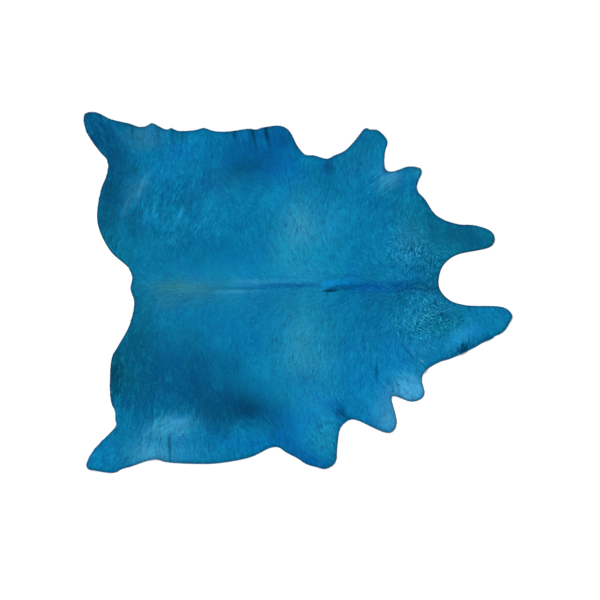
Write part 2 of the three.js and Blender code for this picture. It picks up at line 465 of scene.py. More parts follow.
# Columns: from, along and out; to, along and out; half the width; height. All in mm.
# An open fold runs out over the cut edge at its full height.
FOLDS = [
    ("loin", -200, 50, 140, 55, 30, 5, False),
    ("hump", 105, 31, 290, 42, 36, 14, False),
    ("withers", 230, 45, 640, 50, 32, 5, False),
    ("left belly, first ruffle", -272, 870, -262, 735, 42, 7, True),
    ("left belly, second ruffle", -190, 875, -176, 732, 38, 9, True),
    ("left belly, third ruffle", -90, 885, -78, 722, 58, 8, True),
    ("left flank, wide ruffle", -752, 890, -740, 745, 44, 7, True),
    ("left flank, narrow ruffle", -658, 865, -652, 750, 30, 5, True),
    ("left elbow pucker", 140, 705, 168, 600, 42, 8, False),
    ("right elbow pucker", 160, -548, 250, -662, 45, 9, False),
    ("right flank bulge", -732, -890, -722, -735, 62, 7, True),
    ("right neck fold", 665, -418, 520, -255, 27, 8, True),
    ("right jaw, first wave", 850, -320, 805, -190, 40, 7, True),
    ("right jaw, second wave", 975, -265, 935, -165, 34, 6, True),
]

# Columns as for the folds, with the depth of the dip in the hair side in place of the height.
CREASES = [
    ("back line", -500, 21, -60, 20, 12, 0.8, False),
    ("neck line", 490, 16, 770, 22, 10, 1.4, False),
    ("hump tuck", 118, 10, 205, 7, 7, 2.5, False),
    ("left flank, first wrinkle", -850, 850, -846, 740, 12, 1.1, True),
    ("left flank, second wrinkle", -717, 880, -712, 745, 11, 1.1, True),
    ("left flank, third wrinkle", -648, 850, -640, 735, 11, 1.1, True),
    ("left flank, fourth wrinkle", -575, 850, -572, 735, 11, 0.8, True),
    ("left belly, faint crease", -331, 850, -320, 740, 14, 2.1, True),
    ("left belly, corner crease", -6, 780, -11, 700, 10, 1.0, True),
    ("left belly, first crease", -237, 845, -204, 712, 15, 2.4, True),
    ("left belly, second crease", -168, 850, -134, 710, 16, 2.4, True),
    ("right flank crease", -656, -900, -660, -705, 12, 1.6, False),
    ("right neck crease", 622, -372, 528, -262, 14, 1.2, False),
    ("right shoulder crease", 402, -340, 407, -470, 12, 1.6, False),
]

# Columns: the tip, along and out; how far back the curl reaches; how high the tip stands. In mm.
CURLS = [
    ("right cheek", 1100, -121, 150, 6),
    ("left hind shank", -1095, 912, 170, 7),
    ("right hind shank", -1080, -902, 165, 6),
    ("left fore shank", 365, 842, 130, 5),
    ("right fore shank", 134, -905, 130, 5),
    ("left cheek", 1008, 280, 130, 5),
    ("left shoulder", 634, 632, 90, 4),
    ("right flap", 480, -715, 90, 4),
]


# %% The flesh side
def swell(x, y, row):
    """A line's height over the plan: a squared cosine across it, and along it half a sine wave,
    or a quarter of a cosine wave for an open one."""
    _, x0, y0, x1, y1, spread, height, is_open = row
    run = np.array([x1 - x0, y1 - y0]) * MM
    length = np.hypot(*run)
    dx, dy = x - x0 * MM, y - y0 * MM
    along = (dx * run[0] + dy * run[1]) / length ** 2
    off = np.abs(dx * run[1] - dy * run[0]) / length / (spread * MM)
    across = np.cos(math.pi / 2 * np.minimum(off, 1)) ** 2
    if is_open:
        lengthwise = np.cos(math.pi / 2 * np.clip(along, 0, 1))
    else:
        lengthwise = np.sin(math.pi * np.clip(along, 0, 1))
    return height * MM * across * lengthwise


def flesh_side(x, y):
    """How high the flesh side stands: the sum of the folds, and for each curled tip its height
    times (1 - distance / reach) squared."""
    z = sum(swell(x, y, row) for row in FOLDS)
    for _, along, out, reach, height in CURLS:
        near = np.clip(1 - np.hypot(x - along * MM, y - out * MM) / (reach * MM), 0, 1)
        z = z + height * MM * near ** 2
    return z


# %% The hair side
RIM = 11 * MM  # the coat thins out over this distance from the cut edge
PILE = 1.5 * MM  # how thick the combed hair lies over its roots
CURL_HEIGHT = 0.9 * MM  # how high a row of curls stands over the pile
WAVE_HEIGHT = 0.45 * MM  # of skin that dried unevenly
THINNEST = 1.0 * MM  # what is left of the skin under the deepest crease


def coat_share(x, y):
    """How thick the coat is, from 0 at the cut edge to 1: 1 - (1 - gap / rim) squared."""
    return 1 - (1 - np.clip(sample(edge_field, x, y) / RIM, 0, 1)) ** 2


def root_side(x, y):
    """How high the roots of the hair stand: the flesh side and the skin, with shallow waves, less
    the creases, and never thinner than the thinnest."""
    dip = sum(swell(x, y, row) for row in CREASES)
    waves = WAVE_HEIGHT * sample(soft_clouds, x, y)
    return flesh_side(x, y) + np.maximum(LEATHER + (waves - dip) * coat_share(x, y), THINNEST)


def hair_side(x, y):
    """How high the combed coat stands: the roots, the pile, and the rows of curls on the neck."""
    rows = CURL_HEIGHT * curly(x, y) * curl(x, y)
    return root_side(x, y) + (PILE + rows) * coat_share(x, y)


# %% [markdown]
# ## The skin as one closed sheet
#
# The skin could be a grid with a Solidify modifier, but a hide's edge is not straight, so a plain
# grid would leave stairs. Here the plan is cut into square cells, the cells inside the cut edge
# are kept, and their outer corners slide onto it while the rows behind them relax. The same cells
# make the hair side and the flesh side, and a rounded wall of two strips joins them all round.

# %% Plan cells that fit the cut edge
CELL = 8 * MM  # the side of a cell
LOOSE_ROUNDS = 3  # how often cells that hang on by one side are dropped
RELAX_ROUNDS = 14
RELAX_BAND = 4 * CELL  # how far behind the cut edge the points move along


def plan_cells():
    """Square cells whose centres lie inside the cut edge: their corner points and quads, and the
    directed edges on their outer side. A cell with one neighbour or none is dropped first."""
    shape = np.ceil((EDGE.reshape(-1, 2).max(0) - CORNER + CELL) / CELL).astype(int)
    u, v = (CORNER[k] + CELL * np.arange(shape[k] + 1) for k in (0, 1))
    keep = sample(edge_field, *np.meshgrid(u[:-1] + CELL / 2, v[:-1] + CELL / 2, indexing="ij")) > 0
    for _ in range(LOOSE_ROUNDS):
        framed = np.pad(keep, 1).astype(int)
        beside = framed[2:, 1:-1] + framed[:-2, 1:-1] + framed[1:-1, 2:] + framed[1:-1, :-2]
        keep = keep & (beside > 1)
    i, j = np.nonzero(keep)
    number = i * (shape[1] + 1) + j
    quads = np.stack([number, number + shape[1] + 1, number + shape[1] + 2, number + 1], 1)
    used, quads = np.unique(quads, return_inverse=True)
    quads = quads.reshape(-1, 4)
    points = np.stack([u[used // (shape[1] + 1)], v[used % (shape[1] + 1)]], 1)
    edges = quads[:, [0, 1, 1, 2, 2, 3, 3, 0]].reshape(-1, 2)
    forth = edges[:, 0] * len(points) + edges[:, 1]
    back = edges[:, 1] * len(points) + edges[:, 0]
    return points, quads, edges, edges[~np.isin(forth, back)]


def fit_to_edge(points, edges, outer):
    """Slide the outer points onto the cut edge, and let the points within a band behind them move
    half way to the mean of their neighbours, round after round."""
    rim = np.unique(outer)
    band = np.nonzero(sample(edge_field, points[:, 0], points[:, 1]) < RELAX_BAND)[0]
    own, other = np.concatenate([edges, edges[:, ::-1]]).T
    count = np.bincount(own, minlength=len(points))
    for _ in range(RELAX_ROUNDS):
        mean = np.stack([np.bincount(own, points[other, k], len(points)) for k in (0, 1)], 1)
        mean /= count[:, None]
        points[band] = (points[band] + mean[band]) / 2
        points[rim] = to_edge(points[rim])[1]
    return points


plan, quads, plan_edges, outer_edges = plan_cells()
plan = fit_to_edge(plan, plan_edges, outer_edges)
print(f"plan: {len(plan)} points, {len(quads)} cells, {len(outer_edges)} on the cut edge")


# %% Turn arrays into a mesh object
def mesh_object(name, points, faces, maps, materials, slots=None):
    """A mesh object from points (n, 3) and a list of face arrays, each with its own number of
    corners, with a UV map for each name and its values at all face corners in turn."""
    sizes = np.concatenate([np.full(len(group), group.shape[1]) for group in faces])
    corners = np.concatenate([group.reshape(-1) for group in faces])
    mesh = bpy.data.meshes.new(name)
    mesh.vertices.add(len(points))
    mesh.vertices.foreach_set("co", points.astype(np.float32).reshape(-1))
    mesh.loops.add(len(corners))
    mesh.loops.foreach_set("vertex_index", corners.astype(np.int32))
    mesh.polygons.add(len(sizes))
    mesh.polygons.foreach_set("loop_start", (np.cumsum(sizes) - sizes).astype(np.int32))
    for material in materials:
        mesh.materials.append(material)
    if slots is not None:
        mesh.polygons.foreach_set("material_index", slots.astype(np.int32))
    mesh.update(calc_edges=True)
    for map_name, values in maps.items():
        layer = mesh.uv_layers.new(name=map_name)
        layer.data.foreach_set("uv", values.astype(np.float32).reshape(-1))
    piece = bpy.data.objects.new(name, mesh)
    bpy.context.scene.collection.objects.link(piece)
    return piece


def tint(piece, name, colours):
    """Keep one linear colour for each point of a piece, under a name that its material reads."""
    layer = piece.data.color_attributes.new(name, "FLOAT_COLOR", "POINT")
    with_alpha = np.c_[colours, np.ones(len(colours))].astype(np.float32)
    layer.data.foreach_set("color", with_alpha.reshape(-1))


# %% [markdown]
# ## The dye
#
# The hide was dyed whole, over hair that was dark in some places and light in others, so the blue
# is deep navy on the shanks and the right flank, olive on the spine and pale on the shoulders. It
# could be a picture painted on an unwrapped mesh. Here it is painted as an airbrush would do it,
# because a table of strokes can be read and changed: soft ellipses laid over a ground colour, one
# after the other. They were typed one by one, then moved and recoloured where colours measured in the
# render and in the photo differed. Their edges are pulled about by the combed streaks, so none
# looks sprayed.
# A few of the ellipses are painted light and shade, not dye: highlights and shade where the hump, the
# back, the jaw waves and the neck's fold face the lamp or turn from it.

# %% Dyes
DYES = {
    "sea blue": "#0675a5",
    "cobalt": "#0670ad",
    "azure": "#077dbc",
    "sky": "#1e90c6",
    "steel": "#0a7bb3",
    "aqua": "#0d86ae",
    "pale aqua": "#1c8ab0",
    "pale blue": "#3a9bc4",
    "lilac": "#3f97c6",
    "periwinkle": "#45a3d6",
    "violet grey": "#2a759a",
    "olive": "#2e7e92",
    "teal": "#0b6c8e",
    "bottle": "#075a78",
    "slate": "#0c6a98",
    "deep blue": "#035592",
    "violet blue": "#055aa0",
    "navy": "#054b76",
    "ink": "#03456d",
    "night": "#023a60",
    "pitch": "#04344a",
    "undyed": "#8fc6dc",
}
GROUND = "sea blue"

# %% Patches of dye, and of painted light and shade
# Columns: the middle, along and out in mm; half length and half width in mm; the turn of the
# length from +X in degrees; the dye; how much of it; and how firm the edge is, 2 being soft.
PATCHES = [
    ("right side ground", -330, -200, 420, 170, 0, "steel", 0.35, 3),
    ("right shoulder ground", 330, -330, 300, 230, 0, "steel", 0.5, 3),
    ("left rump ground", -730, 270, 230, 220, 0, "teal", 0.4, 3),
    ("left back ground", 20, 230, 165, 260, 0, "pale aqua", 0.9, 3),
    ("right back ground", 30, -290, 175, 270, 0, "pale aqua", 0.75, 3),
    ("loin ground", -270, 10, 160, 110, 0, "pale aqua", 0.35, 2),
    ("withers ground", 430, 20, 160, 95, 0, "slate", 0.85, 2),
    ("left hind shank", -1010, 770, 235, 130, -60, "navy", 1.0, 3),
    ("left butt edge", -985, 400, 290, 70, -86, "bottle", 0.85, 3),
    ("left butt shade", -840, 350, 60, 100, 0, "bottle", 0.6, 2),
    ("left butt navy", -955, 545, 80, 140, 0, "ink", 0.75, 2),
    ("left flank corner", -860, 858, 70, 38, 0, "bottle", 0.7, 2),
    ("left butt lower edge", -895, 170, 130, 50, -50, "bottle", 0.7, 2),
    ("left green spot", -853, 640, 42, 34, 0, "bottle", 0.7, 3),
    ("left flank worn streak", -595, 414, 58, 12, 65, "sky", 0.9, 2),
    ("left flank front streak", -493, 357, 44, 10, 55, "sky", 0.8, 2),
    ("left rump worn streak", -800, 548, 62, 12, 63, "pale blue", 0.85, 2),
    ("left rump back streak", -880, 450, 62, 12, 72, "violet grey", 0.8, 2),
    ("left loin streak", -737, 430, 54, 10, 75, "sky", 0.6, 2),
    ("left rump middle streak", -788, 372, 30, 9, 65, "sky", 0.6, 2),
    ("left rump low streak", -655, 268, 52, 9, 22, "sky", 0.6, 2),
    ("left stifle dark spot", -700, 486, 12, 30, 5, "deep blue", 0.8, 2),
    ("left rump pale", -830, 530, 75, 45, 60, "violet grey", 0.5, 2),
    ("left flank violet", -785, 800, 95, 62, 0, "violet grey", 0.7, 3),
    ("left flank green", -615, 790, 45, 42, 0, "teal", 0.6, 2),
    ("left flank steel", -520, 770, 90, 60, 20, "steel", 0.7, 2),
    ("left stifle", -660, 650, 110, 60, 10, "steel", 0.6, 2),
    ("left belly deep", -210, 700, 210, 150, 0, "deep blue", 0.85, 4),
    ("left belly inner", -400, 555, 180, 80, 10, "slate", 0.95, 2),
    ("left belly dark", -250, 650, 110, 50, 12, "ink", 0.6, 2),
    ("left belly corner", -100, 800, 75, 70, 0, "deep blue", 0.8, 2),
    ("left belly front", -40, 640, 75, 90, 0, "cobalt", 0.6, 2),
    ("left back haze", 10, 340, 65, 95, 0, "pale blue", 0.7, 2),
    ("left back streak", -20, 180, 50, 75, 0, "pale aqua", 0.6, 2),
    ("left withers", 140, 180, 130, 70, 0, "aqua", 0.8, 3),
    ("left shoulder haze", 175, 385, 70, 75, 0, "sky", 0.4, 2),
    ("left elbow blot", 152, 646, 50, 38, 80, "violet blue", 0.9, 2),
    ("left elbow blot core", 153, 650, 30, 20, 80, "navy", 0.9, 2),
    ("left fore shank", 310, 735, 165, 105, 60, "slate", 0.95, 3),
    ("left elbow pale", 410, 620, 60, 50, 0, "sky", 0.4, 2),
    ("left shoulder pale", 473, 587, 60, 44, 35, "lilac", 0.75, 2),
    ("left shoulder tip", 627, 630, 40, 36, 0, "violet grey", 0.6, 2),
    ("left neck worn", 575, 290, 62, 80, 0, "violet grey", 0.6, 2),
    ("left shoulder edge", 660, 440, 130, 60, -50, "bottle", 0.6, 2),
    ("left neck shade", 545, 405, 105, 120, 0, "teal", 0.6, 2),
    ("left cheek", 840, 285, 280, 95, -14, "bottle", 0.9, 3),
    ("spine olive", -580, 12, 190, 65, 0, "olive", 0.6, 2),
    ("spine olive line", -600, 28, 150, 20, 0, "olive", 0.85, 2),
    ("spine olive front", -250, 22, 80, 22, 0, "pale aqua", 0.6, 2),
    ("spine light above", -210, 52, 130, 13, 0, "pale blue", 0.45, 2),
    # painted highlight on the lit lower wall of the back line crease
    ("spine painted highlight below", -340, 4, 100, 9, 0, "pale blue", 0.45, 2),
    ("rump olive", -680, -60, 70, 40, 0, "olive", 0.35, 2),
    ("tail root", -800, -90, 60, 140, 0, "teal", 0.6, 2),
    ("right rump teal", -650, -235, 190, 95, 0, "teal", 0.7, 2),
    ("right butt front", -840, -240, 115, 160, 0, "bottle", 0.85, 2),
    # painted shade on the slope below the loin fold, which faces away from the lamp
    ("back band, painted shade", -60, 36, 190, 13, 0, "violet blue", 0.6, 2),
    ("withers band", 430, 30, 230, 30, 0, "violet blue", 0.9, 3),
    ("neck band", 650, 28, 95, 28, 0, "navy", 0.7, 2),
    # painted light and shade on the hump: a painted highlight on its rise and upper flank, painted
    # shade on its dome and a painted shadow along its foot
    ("hump rise, painted highlight", 140, 38, 38, 13, 45, "azure", 0.9, 2),
    ("hump painted highlight", 220, 54, 84, 17, 0, "azure", 0.95, 3),
    ("hump dome, painted shade", 208, 26, 36, 13, 0, "deep blue", 0.6, 2),
    ("hump shadow", 164, 9, 40, 8, 4, "night", 0.95, 3),
    ("right butt", -820, -470, 190, 180, 0, "navy", 0.75, 3),
    ("right butt green", -915, -390, 95, 150, 0, "bottle", 0.9, 2),
    ("right butt edge", -940, -400, 130, 40, 90, "pitch", 0.8, 2),
    ("right flank dark", -430, -545, 310, 125, -15, "navy", 0.85, 3),
    ("right flank upper", -510, -370, 190, 95, -8, "navy", 0.65, 2),
    ("right flank low", -420, -670, 120, 75, 0, "navy", 0.6, 3),
    ("right flank darkest", -270, -600, 130, 62, -12, "night", 0.75, 2),
    ("right belly", -230, -770, 200, 58, 4, "cobalt", 0.9, 4),
    ("whorl pale", -655, -702, 110, 50, 8, "pale blue", 0.9, 2),
    ("whorl heart", -632, -702, 82, 38, 0, "pale blue", 0.9, 3),
    ("whorl top arc", -612, -660, 54, 9, -8, "periwinkle", 0.7, 2),
    ("whorl back arc", -742, -694, 50, 9, 50, "pale blue", 0.8, 2),
    ("whorl side", -520, -725, 70, 50, 0, "steel", 0.7, 2),
    ("right flank edge", -550, -830, 130, 50, 0, "sky", 0.5, 2),
    ("whorl arc", -690, -658, 60, 10, 28, "pale blue", 0.8, 2),
    ("whorl tail", -797, -800, 60, 9, 88, "pale blue", 0.6, 2),
    ("belly stain", -375, -738, 26, 12, 40, "deep blue", 0.7, 2),
    ("belly front stain", -252, -758, 24, 11, -40, "deep blue", 0.6, 2),
    ("whorl stripe", -660, -755, 55, 14, 90, "slate", 0.6, 2),
    ("hind flank pale", -750, -828, 120, 60, 0, "pale blue", 0.95, 2),
    ("right hock", -950, -710, 65, 60, 0, "slate", 0.5, 2),
    ("right hind shank", -990, -850, 110, 60, 30, "steel", 0.7, 2),
    ("right elbow blue", 40, -665, 90, 110, 0, "azure", 0.9, 2),
    ("right side bright", 350, -520, 110, 130, 0, "azure", 0.5, 2),
    ("right middle", 30, -465, 95, 70, 0, "cobalt", 0.4, 2),
    ("right belly light", 100, -560, 105, 110, 0, "sky", 0.35, 2),
    ("right fore shank", 135, -735, 72, 95, 0, "pale aqua", 0.75, 2),
    ("right fore shank edge", 50, -850, 150, 40, -32, "violet blue", 0.9, 2),
    ("right belly front dark", -70, -650, 50, 62, 0, "violet blue", 0.4, 2),
    ("right elbow blot", 205, -600, 56, 44, -50, "violet blue", 0.95, 2),
    ("right elbow blot core", 220, -622, 36, 18, -25, "navy", 1.0, 2),
    ("right flap root", 400, -610, 60, 70, 0, "sky", 0.5, 2),
    ("right flap", 472, -640, 58, 100, 0, "lilac", 0.85, 2),
    ("above right shoulder", 507, -364, 75, 60, 0, "azure", 0.7, 2),
    ("right shoulder rise", 575, -410, 90, 50, 0, "sky", 0.5, 2),
    ("right shoulder", 573, -502, 108, 66, 8, "periwinkle", 1.0, 3),
    ("right neck bright", 640, -290, 90, 60, 0, "sky", 0.4, 2),
    ("right cheek light", 850, -215, 95, 50, 35, "sky", 1.0, 3),
    ("right cheek", 920, -107, 75, 48, 0, "aqua", 0.5, 2),
    ("right cheek end", 1055, -140, 50, 60, 0, "slate", 0.5, 2),
    # painted shade on the shaded sides of the two jaw waves
    ("right jaw wave, painted shade", 845, -290, 56, 16, 25, "night", 1.0, 3),
    ("right jaw second wave, painted shade", 960, -240, 36, 14, 25, "ink", 0.6, 2),
    # painted highlight on the lit side of the neck fold, beside its crease
    ("painted highlight by the neck crease", 606, -326, 42, 9, -56, "sky", 0.9, 2),
    ("fleck by the neck crease", 641, -360, 5, 4, -45, "undyed", 0.9, 2),
    ("neck aqua", 720, -120, 85, 105, 0, "aqua", 0.5, 2),
    ("right cheek root", 820, -150, 120, 60, 0, "teal", 0.4, 2),
    ("notch rim", 725, 60, 95, 220, 0, "bottle", 0.75, 2),
    ("right neck slate", 370, -210, 95, 90, 0, "slate", 0.4, 2),
    ("right back pale", 10, -240, 58, 105, 0, "pale blue", 0.4, 2),
    ("right back haze", 40, -355, 95, 52, 0, "pale blue", 0.3, 2),
]

# %% The dye at any place
PULL = 9 * MM  # how far the streaks pull the patches' edges along the lie


def dye_at(x, y):
    """The dye as linear RGB: the ground colour, mixed with each patch by its amount times
    exp(-q to its firmness), q being the distance from its middle in units of its half sizes."""
    pull = PULL * sample(wide_streaks, x, y)
    lie = sample(lie_field, x, y)
    x, y = x + pull * lie[..., 0], y + pull * lie[..., 1]
    colour = np.broadcast_to(linear(DYES[GROUND]), (*x.shape, 3)).copy()
    for _, along, out, half_length, half_width, turn, dye, amount, firmness in PATCHES:
        q = how_near(x, y, along, out, half_length, half_width, turn)
        weight = amount * np.exp(-q ** firmness)[..., None]
        colour = colour * (1 - weight) + linear(DYES[dye]) * weight
    return colour


def mix_by(colour, other, amount):
    """Mix each colour with another one by its own amount, kept between 0 and 1."""
    amount = np.clip(amount, 0, 1)[..., None]
    return colour * (1 - amount) + other * amount


print(f"dye: {len(DYES)} dyes in {len(PATCHES)} patches")

# %% Where the streaks show
# Columns: the middle, along and out in mm; half length and half width in mm; and how much more
# the streaks show there than elsewhere, or less, below 0.
BRUSHED = [
    ("left flank", -632, 439, 170, 180, 1.0),
    ("right flank whorl", -658, -715, 130, 80, 1.6),
    ("right hind shank", -940, -861, 130, 70, 1.0),
    ("right shoulder", 550, -475, 110, 110, 1.2),
    ("left of the neck", 560, 205, 105, 95, 1.2),
    ("right of the neck", 640, -165, 140, 105, 0.9),
    ("right fore shank", 132, -727, 75, 100, 1.3),
    ("right of the back", 90, -310, 120, 120, 0.7),
    ("left shoulder", 447, 527, 140, 120, 0.6),
    ("left of the back", 36, 283, 90, 200, 0.6),
    ("left belly", -210, 690, 200, 140, -0.8),
    ("right flank dark", -330, -530, 330, 140, -0.7),
    ("left loin", -430, 140, 230, 110, -0.95),
    ("spine", -300, -40, 330, 90, -0.6),
    ("left hind shank", -920, 640, 90, 200, -0.5),
    ("left rump", -790, 240, 130, 120, -0.5),
    ("left cheek", 740, 300, 150, 70, -0.8),
    ("right jaw", 840, -230, 120, 60, -0.7),
    ("right rump", -560, -250, 330, 130, -0.4),
    ("right elbow", 0, -680, 70, 80, -0.5),
]


def brushed(x, y):
    """How much the streaks show: 1, and the table's amounts times exp(-q squared), never below 0."""
    share = 1 + sum(row[-1] * np.exp(-how_near(x, y, *row[1:-1]) ** 2) for row in BRUSHED)
    return np.maximum(share, 0)


# %% How unevenly the hair took the dye
LIGHT_TOUCH = linear("#14a6d2")  # hair that the dye took least
CURL_HIGHLIGHT = linear("#3bb0d5")  # a paler colour on the curls, painted as the highlight on their crests
DARK_TOUCH = linear("#02406b")  # hair that it took most

# How much of those colours one unit of streak, fleck, curl or cloud mixes in.
STREAK_TOUCH = 0.08
FINE_SHARE = 1.2  # what the fine streaks count for
WIDE_SHARE = 0.6  # and the wide ones
FLECK_TOUCH = 0.12
FLECK_FROM = 1.6  # only streaks this far above the mean show as flecks
# on the curls this share is painted light: a highlight on each crest, and shade in the gaps between the
# rows
CURL_HIGHLIGHT_AND_SHADE = 0.92
CLOUD_TOUCH = 0.045
HUE_TOUCH = np.array([0.0, 0.018, -0.012])  # clouds where the blue turns a little greener
LIGHT_FROM = 0.05  # light hair shows in thin streaks, so it starts above the mean
DARKER = 1.2  # how much dark hair shows, set against light hair

CREASE_SHADE_AND_DARK_EDGE = linear("#02365a")  # painted shade in the creases, and the darker colour towards the cut edge
CREASE_SHADE_TOUCH = 0.95
DEEP_CREASE = 2.4 * MM  # a crease this deep shows the full painted shade
RIM_TOUCH = 0.6
RIM_DARK = 9 * MM  # how far in from the cut edge the hair is darker


def hair_colour(x, y, spread):
    """The dye, a little greener or bluer by its own clouds, with the uneven take of the hair. The
    streaks, the brightest of them once more as flecks, the clouds, the neck's curls and each lock's
    own share are added up. The sum mixes the dye with the light touch above 0, a paler painted
    highlight on the crests of the curls, and with the dark touch below, which in the gaps between
    the curls is painted shade. The creases are painted darker, as the shade that falls in them."""
    fine = sample(fine_streaks, x, y)
    streaks = STREAK_TOUCH * (FINE_SHARE * fine + WIDE_SHARE * sample(wide_streaks, x, y))
    flecks = FLECK_TOUCH * np.maximum(fine - FLECK_FROM, 0)
    brush = brushed(x, y)
    curls = curly(x, y)
    share = (brush * (streaks + flecks) + CLOUD_TOUCH * sample(soft_clouds, x, y)
             + CURL_HIGHLIGHT_AND_SHADE * curls * curl(x, y) + np.minimum(brush, 1) * spread)
    colour = dye_at(x, y) * (1 + HUE_TOUCH * sample(hue_clouds, x, y)[..., None])
    light = LIGHT_TOUCH + (CURL_HIGHLIGHT - LIGHT_TOUCH) * curls[..., None]
    colour = mix_by(colour, light, share - LIGHT_FROM)
    colour = mix_by(colour, DARK_TOUCH, -DARKER * share)
    # the creases are painted darker, as the shade that falls in them
    crease = sum(swell(x, y, row) for row in CREASES) / DEEP_CREASE
    return mix_by(colour, CREASE_SHADE_AND_DARK_EDGE, CREASE_SHADE_TOUCH * crease)


def dark_rim(colour, x, y):
    """The hair turns darker towards the cut edge, evenly over the last millimetres."""
    share = np.clip(1 - sample(edge_field, x, y) / RIM_DARK, 0, 1)
    return mix_by(colour, CREASE_SHADE_AND_DARK_EDGE, RIM_TOUCH * share)


# %% [markdown]
# ## The materials
#
# Hair-on leather has three finishes. The hair is smooth keratin, which takes the dye clear and
# shines softly along its length. The cut edge is bare leather, dyed through and dull. The flesh
# side is buffed to a suede, a paler blue-grey with a short nap. Photographs of each could be laid
# on, but a few noises at real sizes need no pictures and never repeat. None of the finishes is
# glossy: the white room must not wash out the dye, so their specular level is low, and a faint
# blue sheen stands for the light that passes through the tips of the hair at low angles.

# %% Streaks in a dye
MIX_A, MIX_B, MIX_RESULT = 6, 7, 2  # the colour sockets of a Mix node, whose names repeat


def streaked_dye(tree, shader, place, scale, detail, shades, strength, distance):
    """The dye kept on the mesh, times a noise that is drawn out into streaks. The shades say which
    range of the noise becomes which range of brightness. The noise is the bump as well, and it is
    returned."""
    dye = add_node(tree, "ShaderNodeVertexColor", layer_name="dye")
    drawn_out = add_node(tree, "ShaderNodeMapping", [("Vector", place)], Scale=scale)
    noise = add_node(tree, "ShaderNodeTexNoise", [("Vector", drawn_out.outputs["Vector"])],
                     Scale=1.0, Detail=detail)
    shade = add_node(tree, "ShaderNodeMapRange", [("Value", noise.outputs["Fac"])], **shades)
    streaked = add_node(tree, "ShaderNodeMix", [(MIX_A, dye.outputs["Color"]),
                                                (MIX_B, shade.outputs["Result"])],
                        data_type="RGBA", blend_type="MULTIPLY", Factor=1.0)
    bump = add_node(tree, "ShaderNodeBump", [("Height", noise.outputs["Fac"])],
                    Strength=strength, Distance=distance)
    tree.links.new(streaked.outputs[MIX_RESULT], shader.inputs["Base Color"])
    tree.links.new(bump.outputs["Normal"], shader.inputs["Normal"])
    return noise


# %% Dyed hair
# Cattle hair is keratin, dyed in a vat and combed: a clear colour with a soft shine along it.
SHEEN_BLUE = (*linear("#0a90d8"), 1)
STRANDS_IN_LOCK = 8  # drawn a third of a millimetre wide to show, each for five real hairs
STRAND_CHANGES = 1.5  # how often a strand changes its shade on the way to the tip

hair_material, tree, shader = new_material("dyed_hair")
set_sockets(shader, {"Specular IOR Level": 0.01, "IOR": 1.55, "Sheen Weight": 0.04,
                     "Sheen Roughness": 0.4, "Sheen Tint": SHEEN_BLUE})
lock_map = add_node(tree, "ShaderNodeUVMap", uv_map="lock")
strands = streaked_dye(tree, shader, lock_map.outputs["UV"],
                       scale=(STRANDS_IN_LOCK, STRAND_CHANGES, 1), detail=2.0,
                       shades={"From_Min": 0.3, "From_Max": 0.7, "To_Min": 0.7, "To_Max": 1.3},
                       strength=0.8, distance=0.4 * MM)
gloss = add_node(tree, "ShaderNodeMapRange", [("Value", strands.outputs["Fac"])],
                 To_Min=0.45, To_Max=0.75)
tree.links.new(gloss.outputs["Result"], shader.inputs["Roughness"])

# %% Hair side of the skin, seen between the locks
# Hair-on cow leather, tanned and dyed with its hair: the roots shine less, and the hair side between
# the locks is painted darker, as the shade that the locks cast on it.
ROOT_STREAK = 2.5 * MM  # width of a streak of hair roots, drawn as wide as a lock to show
ROOT_STRETCH = 0.12  # its width, set against its length

root_material, tree, shader = new_material("dyed_hair_on_hide")
set_sockets(shader, {"Roughness": 0.75, "Specular IOR Level": 0.01, "IOR": 1.5})
place = add_node(tree, "ShaderNodeTexCoord")
# the shades darken the dye to between 0.4 and 0.85 of itself: painted shade under the locks
streaked_dye(tree, shader, place.outputs["Object"],
             scale=(1 / ROOT_STREAK, ROOT_STRETCH / ROOT_STREAK, 1 / ROOT_STREAK), detail=4.0,
             shades={"To_Min": 0.4, "To_Max": 0.85}, strength=0.6, distance=0.6 * MM)


# %% Cut edge and flesh side
# Tanned cow leather: bare and dark where the knife cut it, and buffed to a pale nap underneath.
FIBRE = 0.8 * MM  # leather fibres in the cut
NAP = 1.5 * MM  # the suede's nap, drawn coarse enough to show
TRAMPLED = 90 * MM  # clouds in the buffing
EDGE_CLOUD = 30 * MM  # clouds in the dye of the cut


def leather_material(name, dark, light, grain, clouds, distance):
    """A dull leather: two dyes mixed by the sum of clouds and grain, with the grain as bump."""
    material, tree, shader = new_material(name)
    set_sockets(shader, {"Roughness": 0.9, "Specular IOR Level": 0.1, "IOR": 1.5,
                         "Sheen Weight": 0.1, "Sheen Roughness": 0.5})
    place = add_node(tree, "ShaderNodeTexCoord")
    fine = add_node(tree, "ShaderNodeTexNoise", [("Vector", place.outputs["Object"])],
                    Scale=1 / grain, Detail=3.0)
    wide = add_node(tree, "ShaderNodeTexNoise", [("Vector", place.outputs["Object"])],
                    Scale=1 / clouds, Detail=4.0)
    both = add_node(tree, "ShaderNodeMath", [(0, fine.outputs["Fac"]), (1, wide.outputs["Fac"])],
                    operation="ADD")
    blend = add_node(tree, "ShaderNodeMapRange", [("Value", both.outputs["Value"])],
                     From_Min=0.75, From_Max=1.25)
    dyes = add_node(tree, "ShaderNodeMix", [("Factor", blend.outputs["Result"])], data_type="RGBA")
    dyes.inputs[MIX_A].default_value = (*linear(dark), 1)
    dyes.inputs[MIX_B].default_value = (*linear(light), 1)
    tree.links.new(dyes.outputs[MIX_RESULT], shader.inputs["Base Color"])
    bump = add_node(tree, "ShaderNodeBump", [("Height", fine.outputs["Fac"])],
                    Strength=0.5, Distance=distance)
    tree.links.new(bump.outputs["Normal"], shader.inputs["Normal"])
    return material


